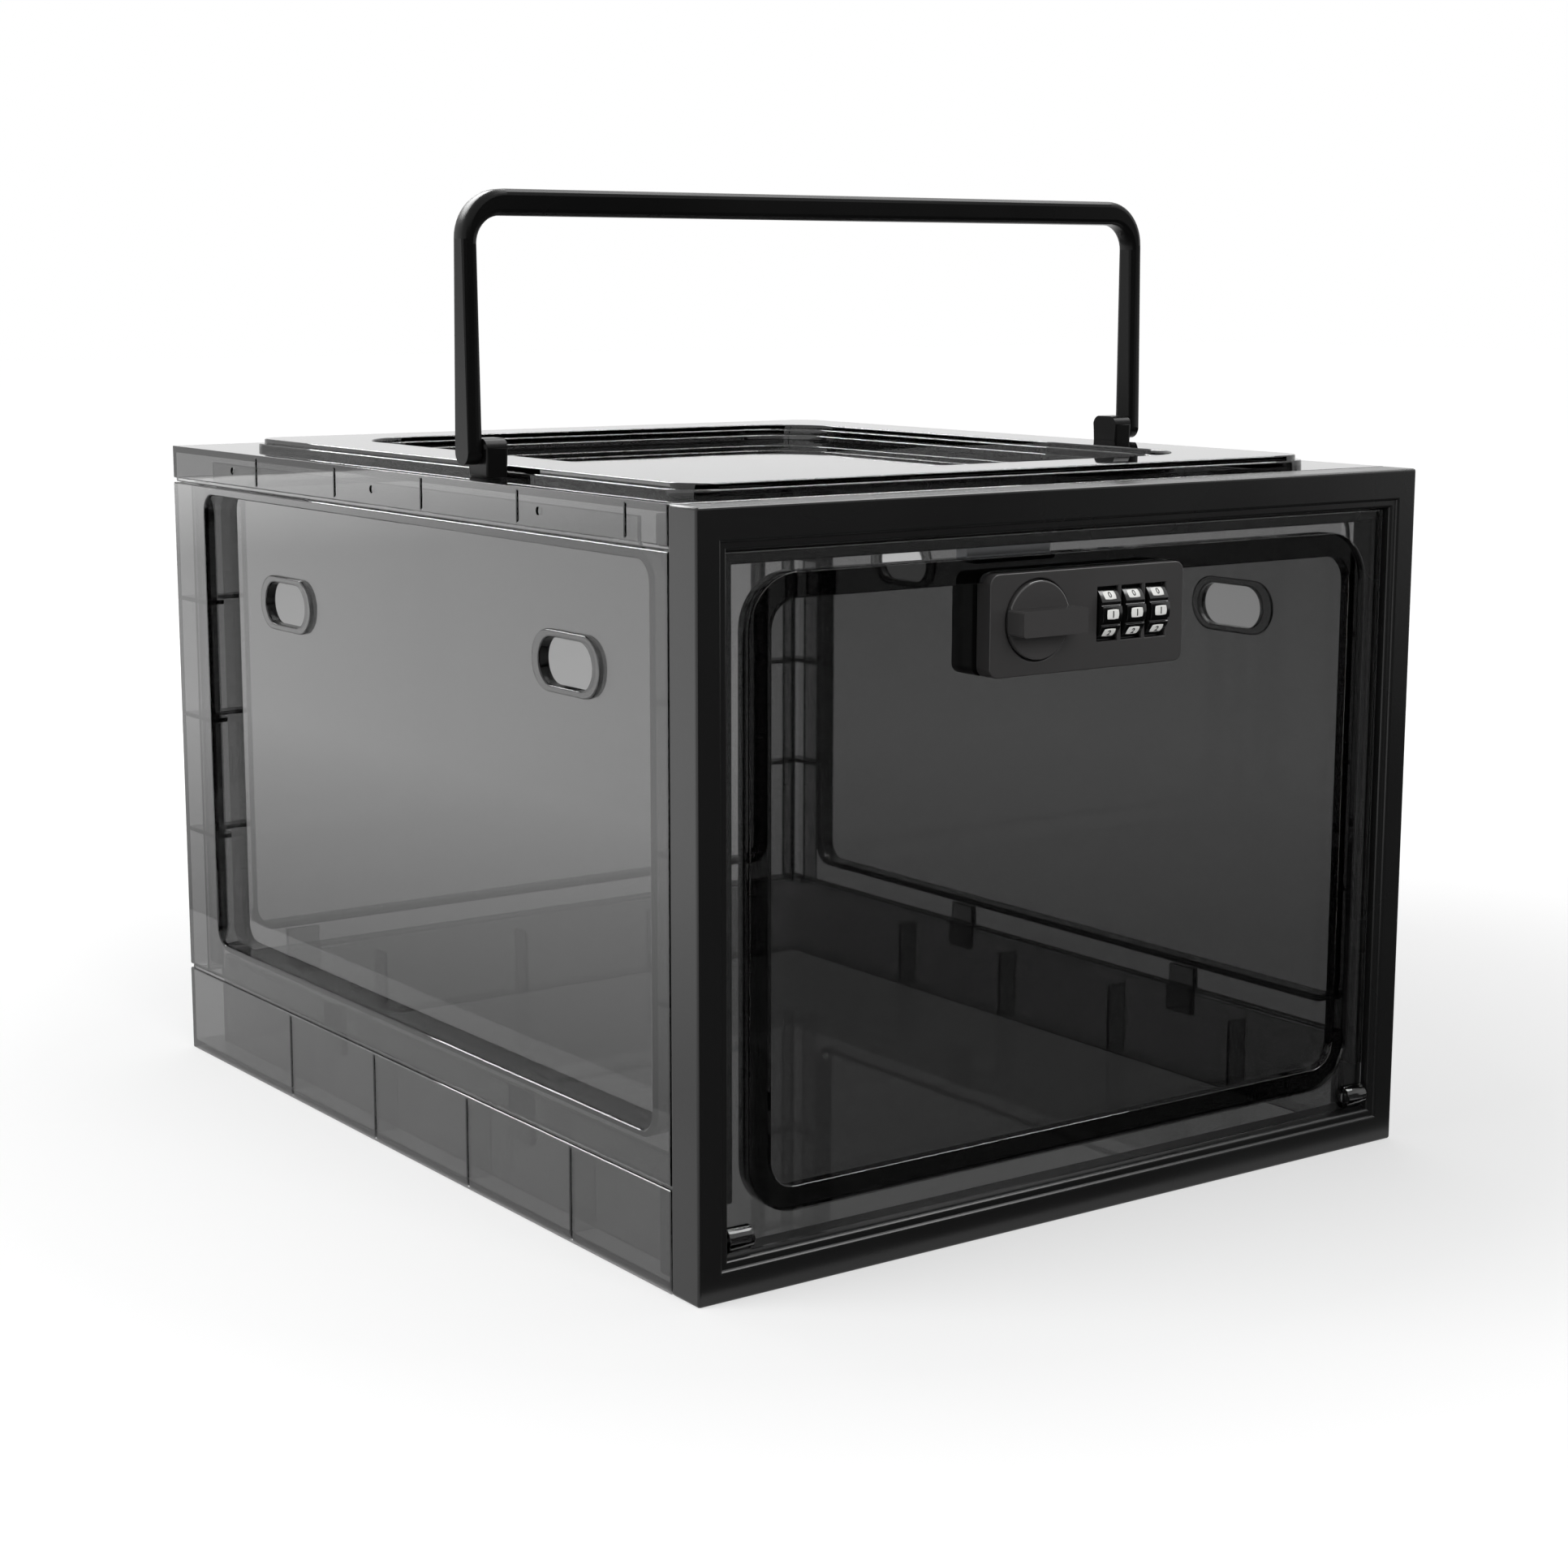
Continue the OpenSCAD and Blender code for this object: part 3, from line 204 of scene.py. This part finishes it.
def shade_curves():
    """Geometry nodes that shade small faces smooth across edges that turn by less than a limit,
    so that curves look round, and keep large faces flat."""
    group, mesh = geometry_group("curved_faces")
    area = add(group, "GeometryNodeInputMeshFaceArea")
    small = add(group, "FunctionNodeCompare", {0: area.outputs[0], 1: CURVE_MM2 * MM ** 2},
                operation="LESS_THAN")
    turn = add(group, "GeometryNodeInputMeshEdgeAngle")
    sharp = add(group, "FunctionNodeCompare", {0: turn.outputs[0], 1: np.radians(CURVE_DEG)},
                operation="GREATER_THAN")
    faces = add(group, "GeometryNodeSetShadeSmooth", {
        "Geometry": mesh, "Shade Smooth": small.outputs[0]}, domain="FACE")
    edges = add(group, "GeometryNodeSetShadeSmooth", {
        "Geometry": faces.outputs[0], "Selection": sharp.outputs[0], "Shade Smooth": False}, domain="EDGE")
    add(group, "NodeGroupOutput", {0: edges.outputs[0]})
    return group


def outer_edges(shortest_mm):
    """Geometry nodes that mark the edges to round: those that turn outwards by more than a limit and
    aren't shorter than a length, so that small bores keep their rims."""
    group, mesh = geometry_group("outer_edges")
    turn = add(group, "GeometryNodeInputMeshEdgeAngle")
    outer = add(group, "FunctionNodeCompare", {0: turn.outputs["Signed Angle"], 1: np.radians(OUTER_DEG)},
                operation="GREATER_THAN")
    ends = add(group, "GeometryNodeInputMeshEdgeVertices")
    span = add(group, "ShaderNodeVectorMath", {0: ends.outputs["Position 1"], 1: ends.outputs["Position 2"]},
               operation="DISTANCE")
    lasting = add(group, "FunctionNodeCompare", {0: span.outputs["Value"], 1: shortest_mm * MM},
                  operation="GREATER_THAN")
    both = add(group, "FunctionNodeBooleanMath", {0: outer.outputs[0], 1: lasting.outputs[0]}, operation="AND")
    mark = add(group, "GeometryNodeStoreNamedAttribute", {
        "Geometry": mesh, "Name": "bevel_weight_edge", "Value": both.outputs[0]},
        data_type="FLOAT", domain="EDGE")
    add(group, "NodeGroupOutput", {0: mark.outputs[0]})
    return group


CURVED = shade_curves()
OUTER = {shortest: outer_edges(shortest)
         for shortest in sorted({shortest for _, shortest in (*EDGES.values(), OTHER_EDGES)})}


def round_edges(obj, width_mm, shortest_mm):
    """Merges a node's triangles, joins its flat faces, rounds its outer edges by a width and shades its
    curves."""
    weld = obj.modifiers.new("merge", "WELD")
    weld.merge_threshold = WELD_MM * MM
    flat = obj.modifiers.new("flats", "DECIMATE")
    flat.decimate_type = "DISSOLVE"
    flat.angle_limit = np.radians(FLAT_DEG)
    obj.modifiers.new("marks", "NODES").node_group = OUTER[shortest_mm]
    bevel = obj.modifiers.new("edges", "BEVEL")
    bevel.width = width_mm * MM
    bevel.segments = EDGE_STEPS
    bevel.limit_method = "WEIGHT"
    bevel.use_clamp_overlap = False
    obj.modifiers.new("shade", "NODES").node_group = CURVED


for part in frame["record"]["subparts"]:
    obj = frame["nodes"][part["node"]]
    obj.data.materials.clear()
    obj.data.materials.append(OWN_FINISH.get(part["node"], FINISHES[part["material_slot"]]))
    round_edges(obj, *EDGES.get(part["node"], OTHER_EDGES))


def put_mesh(name, points, faces, finish, body, slot):
    """A piece from points in mm and a list of faces, riding on a body."""
    mesh = bpy.data.meshes.new(name)
    mesh.from_pydata((points * MM).tolist(), [], faces)
    mesh.materials.append(finish)
    obj = bpy.data.objects.new(name, mesh)
    scene.collection.objects.link(obj)
    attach(obj, body)
    return obj


# ---- White fields and numerals of the digit wheels, in mm ----

WHEEL_CENTRES = (7.0, 16.0, 25.0)
WHEEL_Y, WHEEL_Z, WHEEL_R = -152.6, 174.25, 9.0
DIGITS = 10
DIGIT_PITCH = 2 * np.pi * WHEEL_R / DIGITS
INK_MM = 0.06
FIELD_HALF_W, FIELD_HALF_H, FIELD_RISE = 2.2, 1.4, 0.12
FIELD_POINTS = 13
CORNER_PULL, FIELD_RIM = 0.18, 0.17
NUMERAL_H, NUMERAL_LIFT = 1.9, 0.14
NUMERAL_BOLD = 0.03
NUMERAL_STRIPS = 8


def on_drum(x, across, up, lift):
    """Points on a digit wheel: (x + across, y, z) at radius R + lift and angle up / R above the front."""
    r = WHEEL_R + lift
    angle = up / WHEEL_R
    return np.stack([x + across, WHEEL_Y - r * np.cos(angle), WHEEL_Z + r * np.sin(angle)], -1)


def pillow_field():
    """Grid (u, v) of one digit field, |u|, |v| <= 1: a rounded square, across = W u sqrt(1 - p v^2) and
    up = H v sqrt(1 - p u^2), that rises from its outline over the outer rim to a flat top. Returns across,
    up and lift."""
    side = np.linspace(-1, 1, FIELD_POINTS)
    u, v = np.meshgrid(side, side)
    across = FIELD_HALF_W * u * np.sqrt(1 - CORNER_PULL * v ** 2)
    up = FIELD_HALF_H * v * np.sqrt(1 - CORNER_PULL * u ** 2)
    edge = np.maximum(np.abs(u), np.abs(v))
    return across, up, FIELD_RISE * np.clip((1 - edge) / FIELD_RIM, 0, 1)


def grid_faces(rows, columns, start):
    """Quads of a rows x columns grid of points whose first point has the number start."""
    a = start + np.arange(rows - 1)[:, None] * columns + np.arange(columns - 1)[None, :]
    return np.stack([a, a + 1, a + columns + 1, a + columns], -1).reshape(-1, 4)


def flat_points(mesh):
    """The x and y of a mesh's vertices."""
    points = np.empty(3 * len(mesh.vertices))
    mesh.vertices.foreach_get("co", points)
    return points.reshape(-1, 3)[:, :2]


def numeral(digit):
    """One numeral as a flat mesh with its centre at the origin, cut into low strips so that it can follow
    a wheel: points (across, up) and triangles."""
    text = bpy.data.curves.new("numeral", "FONT")
    text.body = str(digit)
    text.resolution_u = 4
    text.offset = NUMERAL_BOLD
    holder = bpy.data.objects.new("numeral", text)
    scene.collection.objects.link(holder)
    strips = bmesh.new()
    strips.from_mesh(holder.evaluated_get(bpy.context.evaluated_depsgraph_get()).to_mesh())
    bpy.data.objects.remove(holder)
    bpy.data.curves.remove(text)
    flat = bpy.data.meshes.new("numeral")
    strips.to_mesh(flat)
    foot, top = flat_points(flat)[:, 1].min(), flat_points(flat)[:, 1].max()
    for level in np.linspace(foot, top, NUMERAL_STRIPS + 1)[1:-1]:
        bmesh.ops.bisect_plane(strips, geom=strips.verts[:] + strips.edges[:] + strips.faces[:],
                               plane_co=(0, level, 0), plane_no=(0, 1, 0))
    strips.to_mesh(flat)
    strips.free()
    points = flat_points(flat)
    flat.calc_loop_triangles()
    triangles = np.empty(3 * len(flat.loop_triangles), int)
    flat.loop_triangles.foreach_get("vertices", triangles)
    bpy.data.meshes.remove(flat)
    low, high = points.min(0), points.max(0)
    return (points - (low + high) / 2) * NUMERAL_H / (high - low)[1], triangles.reshape(-1, 3)


def lay_ink(name, points, faces, finish, body):
    """A coat of ink on a digit wheel, closed towards its inside."""
    obj = put_mesh(name, np.concatenate(points), np.concatenate(faces).tolist(), finish, body,
                   "wheel_plastic")
    coat = obj.modifiers.new("coat", "SOLIDIFY")
    coat.thickness = INK_MM * MM


across, up, lift = pillow_field()
numerals = [numeral(digit) for digit in range(DIGITS)]
# Each digit stands above the next one, with the 1 in the middle of the window
heights = [(1 - digit) * DIGIT_PITCH for digit in range(DIGITS)]
starts = np.cumsum([0] + [len(flat) for flat, _ in numerals])
for number, x in enumerate(WHEEL_CENTRES, 1):
    lay_ink(f"digit_fields_{number}",
            [on_drum(x, across, up + height, lift).reshape(-1, 3) for height in heights],
            [grid_faces(*across.shape, start=digit * across.size) for digit in range(DIGITS)],
            WHITE_INK, f"wheel_{number}")
    lay_ink(f"numerals_{number}",
            [on_drum(x, flat[:, 0], flat[:, 1] + height, NUMERAL_LIFT)
             for (flat, _), height in zip(numerals, heights)],
            [triangles + start for (_, triangles), start in zip(numerals, starts)],
            BLACK_INK, f"wheel_{number}")


# ---- Return spring of the code reset button, in mm ----

COIL_TURNS, COIL_R, WIRE_R = 5, 1.85, 0.25
TURN_STEPS, WIRE_STEPS = 24, 12
CLOSE_RISE = 3.2  # height of the wire's middle after the close turn at an end, in wire radii


def coil_spring(low, high):
    """Wire of a compression spring in the box from low to high: a circle of points carried along a helix
    whose first and last turns lie close, with a flat face at each end of the wire."""
    steps = np.linspace(0, COIL_TURNS, TURN_STEPS * COIL_TURNS + 1)
    rise = np.interp(steps, (0, 1, COIL_TURNS - 1, COIL_TURNS), (
        low[2] + WIRE_R, low[2] + CLOSE_RISE * WIRE_R, high[2] - CLOSE_RISE * WIRE_R, high[2] - WIRE_R))
    turn, round_wire = np.meshgrid(
        2 * np.pi * steps, 2 * np.pi * np.arange(WIRE_STEPS) / WIRE_STEPS, indexing="ij")
    r = COIL_R + WIRE_R * np.cos(round_wire)
    x, y = (low[:2] + high[:2]) / 2
    points = np.stack([
        x + r * np.cos(turn), y + r * np.sin(turn), rise[:, None] + WIRE_R * np.sin(round_wire)], -1)
    at = np.arange(turn.size).reshape(turn.shape)
    beside = np.roll(at, -1, axis=1)
    sides = np.stack([at[:-1], at[1:], beside[1:], beside[:-1]], -1).reshape(-1, 4)
    return points.reshape(-1, 3), sides.tolist() + [at[0].tolist(), at[-1, ::-1].tolist()]


low, high = (np.array(corner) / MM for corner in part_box("reset_spring"))
coil = put_mesh("reset_coil", *coil_spring(low, high), FINISHES["zinc_steel"], "door", "zinc_steel")
coil.modifiers.new("shade", "NODES").node_group = CURVED
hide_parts("reset_spring")
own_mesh(coil)


# ---- Camera ----

CAMERA_AT = (-0.52818, -0.75110, 0.26680)  # metres
CAMERA_TURN = (-35.6257, 10.0875, 0.108)   # azimuth, elevation and roll in degrees
LENS_MM, SENSOR_MM = 65.53, 36
NEAREST_M = 0.01


def camera_axes(azimuth, elevation, roll):
    """Right, up and back of a camera that looks at the object from an azimuth, elevation and roll in
    degrees."""
    a, e, r = np.radians([azimuth, elevation, roll])
    back = np.array([np.sin(a) * np.cos(e), -np.cos(a) * np.cos(e), np.sin(e)])
    right = np.array([np.cos(a), np.sin(a), 0])
    up = np.cross(back, right)
    return np.cos(r) * right + np.sin(r) * up, np.cos(r) * up - np.sin(r) * right, back


lens = bpy.data.cameras.new("camera")
lens.lens = LENS_MM
lens.sensor_width = SENSOR_MM
lens.clip_start = NEAREST_M
camera = bpy.data.objects.new("camera", lens)
turn = Matrix(np.array(camera_axes(*CAMERA_TURN)).T.tolist()).to_4x4()
camera.matrix_world = Matrix.Translation(CAMERA_AT) @ turn
scene.collection.objects.link(camera)
scene.camera = camera


# ---- Studio, in metres ----

ROOM_LEVEL = 0.28                               # white of the room for dull surfaces, where 1 is full white
GLOW_FROM, GLOW_TO = (0.25, 0.54), (0.75, 0.9)  # distance from the box's middle and glow of the floor there
CARD_Y, CARD_X = (1.8, 2.9), (-0.47, -0.22)     # where the level of a bright card changes
FLOOR_HALF, ON_FLOOR = 8, 0.001                 # half side of the floor, and height of a card that lies on it


def softbox(name, at, look_at, size, watts):
    """A square area lamp that faces a point and isn't seen by gloss."""
    lamp = bpy.data.lights.new(name, "AREA")
    lamp.size = size
    lamp.energy = watts
    obj = bpy.data.objects.new(name, lamp)
    obj.location = at
    obj.rotation_euler = (Vector(look_at) - Vector(at)).to_track_quat("-Z", "Y").to_euler()
    obj.visible_glossy = False
    scene.collection.objects.link(obj)


softbox("key_left", at=(-1.5, 0.35, 0.9), look_at=(0, 0, 0.12), size=1.2, watts=26)
softbox("top", at=(0.1, 0.4, 1.7), look_at=(0, 0, 0.15), size=1.4, watts=12)
softbox("fill_front", at=(-0.2, -1.6, 0.9), look_at=(0, 0, 0.12), size=1.0, watts=14)


def seen(tree):
    """1 for rays of the eye, of gloss and of glass, and 0 for the rest."""
    ray = add(tree, "ShaderNodeLightPath").outputs
    gloss = add(tree, "ShaderNodeMath", {0: ray["Is Camera Ray"], 1: ray["Is Glossy Ray"]},
                operation="MAXIMUM")
    glass = add(tree, "ShaderNodeMath", {0: gloss.outputs[0], 1: ray["Is Transmission Ray"]},
                operation="MAXIMUM")
    return glass.outputs[0]


# Plain white studio for the eye, for gloss and for glass; a dimmer room light for dull surfaces
world = bpy.data.worlds.new("studio")
world.use_nodes = True
room = world.node_tree
room.nodes.clear()
level = add(room, "ShaderNodeMapRange", {"Value": seen(room), "To Min": ROOM_LEVEL, "To Max": 1.0})
sky = add(room, "ShaderNodeBackground", {"Color": linear(WHITE), "Strength": level.outputs[0]})
add(room, "ShaderNodeOutputWorld", {"Surface": sky.outputs[0]})
scene.world = world


def white_paper():
    """White paper, matt and smooth, that keeps the shadow: part of its white is given off towards eye,
    gloss and glass, less near the box, so that it goes over into the white room."""
    made, tree = new_tree("white_paper")
    paper = add(tree, "ShaderNodeBsdfDiffuse", {"Color": linear("#A4A4A4")})
    place = add(tree, "ShaderNodeTexCoord").outputs["Object"]
    away = add(tree, "ShaderNodeVectorMath", {0: place}, operation="LENGTH")
    fade = add(tree, "ShaderNodeMapRange", {
        "Value": away.outputs["Value"], "From Min": GLOW_FROM[0], "From Max": GLOW_TO[0],
        "To Min": GLOW_FROM[1], "To Max": GLOW_TO[1]})
    glow = add(tree, "ShaderNodeEmission", {"Color": linear(WHITE), "Strength": fade.outputs[0]})
    both = add(tree, "ShaderNodeAddShader", {0: paper.outputs[0], 1: glow.outputs[0]})
    pick = add(tree, "ShaderNodeMixShader", {0: seen(tree), 1: paper.outputs[0], 2: both.outputs[0]})
    add(tree, "ShaderNodeOutputMaterial", {"Surface": pick.outputs[0]})
    return made


def black_card():
    """Card with a dull black skin."""
    made, tree = new_tree("black_card")
    skin = add(tree, "ShaderNodeBsdfDiffuse", {"Color": linear("#050505")})
    add(tree, "ShaderNodeOutputMaterial", {"Surface": skin.outputs[0]})
    return made


def bright_card(name, near, far, edge=1.0):
    """A card that gives off its own white, at a level that changes from near to far along Y and falls to a
    share of it, edge, towards the box along X."""
    made, tree = new_tree(name)
    place = add(tree, "ShaderNodeSeparateXYZ", {0: add(tree, "ShaderNodeTexCoord").outputs["Object"]})
    level = add(tree, "ShaderNodeMapRange", {
        "Value": place.outputs["Y"], "From Min": CARD_Y[0], "From Max": CARD_Y[1],
        "To Min": near, "To Max": far})
    share = add(tree, "ShaderNodeMapRange", {
        "Value": place.outputs["X"], "From Min": CARD_X[0], "From Max": CARD_X[1],
        "To Min": 1.0, "To Max": edge})
    glow = add(tree, "ShaderNodeMath", {0: level.outputs[0], 1: share.outputs[0]}, operation="MULTIPLY")
    white = add(tree, "ShaderNodeEmission", {"Color": linear(WHITE), "Strength": glow.outputs[0]})
    add(tree, "ShaderNodeOutputMaterial", {"Surface": white.outputs[0]})
    return made


def sheet(name, outline, finish):
    """A flat four-sided mesh of the studio from its four corners."""
    mesh = bpy.data.meshes.new(name)
    mesh.from_pydata(outline, [], [(0, 1, 2, 3)])
    mesh.materials.append(finish)
    obj = bpy.data.objects.new(name, mesh)
    scene.collection.objects.link(obj)
    return obj


sheet("floor", [(x * FLOOR_HALF, y * FLOOR_HALF, 0) for x, y in ((-1, -1), (1, -1), (1, 1), (-1, 1))],
      white_paper())

# Cards that only gloss sees: dark ones lie and stand in front, so that the front faces stay black, and
# bright ones light the left wall, the top edges and the lid
DARK = black_card()
for name, finish, outline in (
    ("card_low", DARK, [
        (-1.6, -1.5, ON_FLOOR), (1.6, -1.5, ON_FLOOR), (1.6, -0.165, ON_FLOOR), (-0.14, -0.165, ON_FLOOR)]),
    ("card_far", DARK, [(-1.6, -1.5, ON_FLOOR), (1.6, -1.5, ON_FLOOR), (1.6, -1.5, 0.7), (-1.6, -1.5, 0.7)]),
    ("card_side", bright_card("side_glow", near=1.65, far=3.0, edge=0.45), [
        (-2.5, -0.1, ON_FLOOR), (-0.22, -0.1, ON_FLOOR), (-0.22, 2.8, ON_FLOOR), (-2.5, 2.8, ON_FLOOR)]),
    ("card_top", bright_card("top_glow", near=8.0, far=8.0), [
        (0.3, -0.8, 1.3), (0.3, 0.8, 1.3), (1.2, 0.8, 1.3), (1.2, -0.8, 1.3)]),
    ("card_back", bright_card("back_glow", near=12.0, far=12.0), [
        (-1.3, 2.5, 1.4), (1.0, 2.5, 1.4), (1.0, 2.5, 2.4), (-1.3, 2.5, 2.4)]),
):
    card = sheet(name, outline, finish)
    card.visible_camera = card.visible_diffuse = card.visible_transmission = card.visible_shadow = False

# Enough bounces for light to cross the clear walls, the door and the lid
scene.cycles.max_bounces = 24
scene.cycles.transmission_bounces = 24
scene.cycles.glossy_bounces = 8
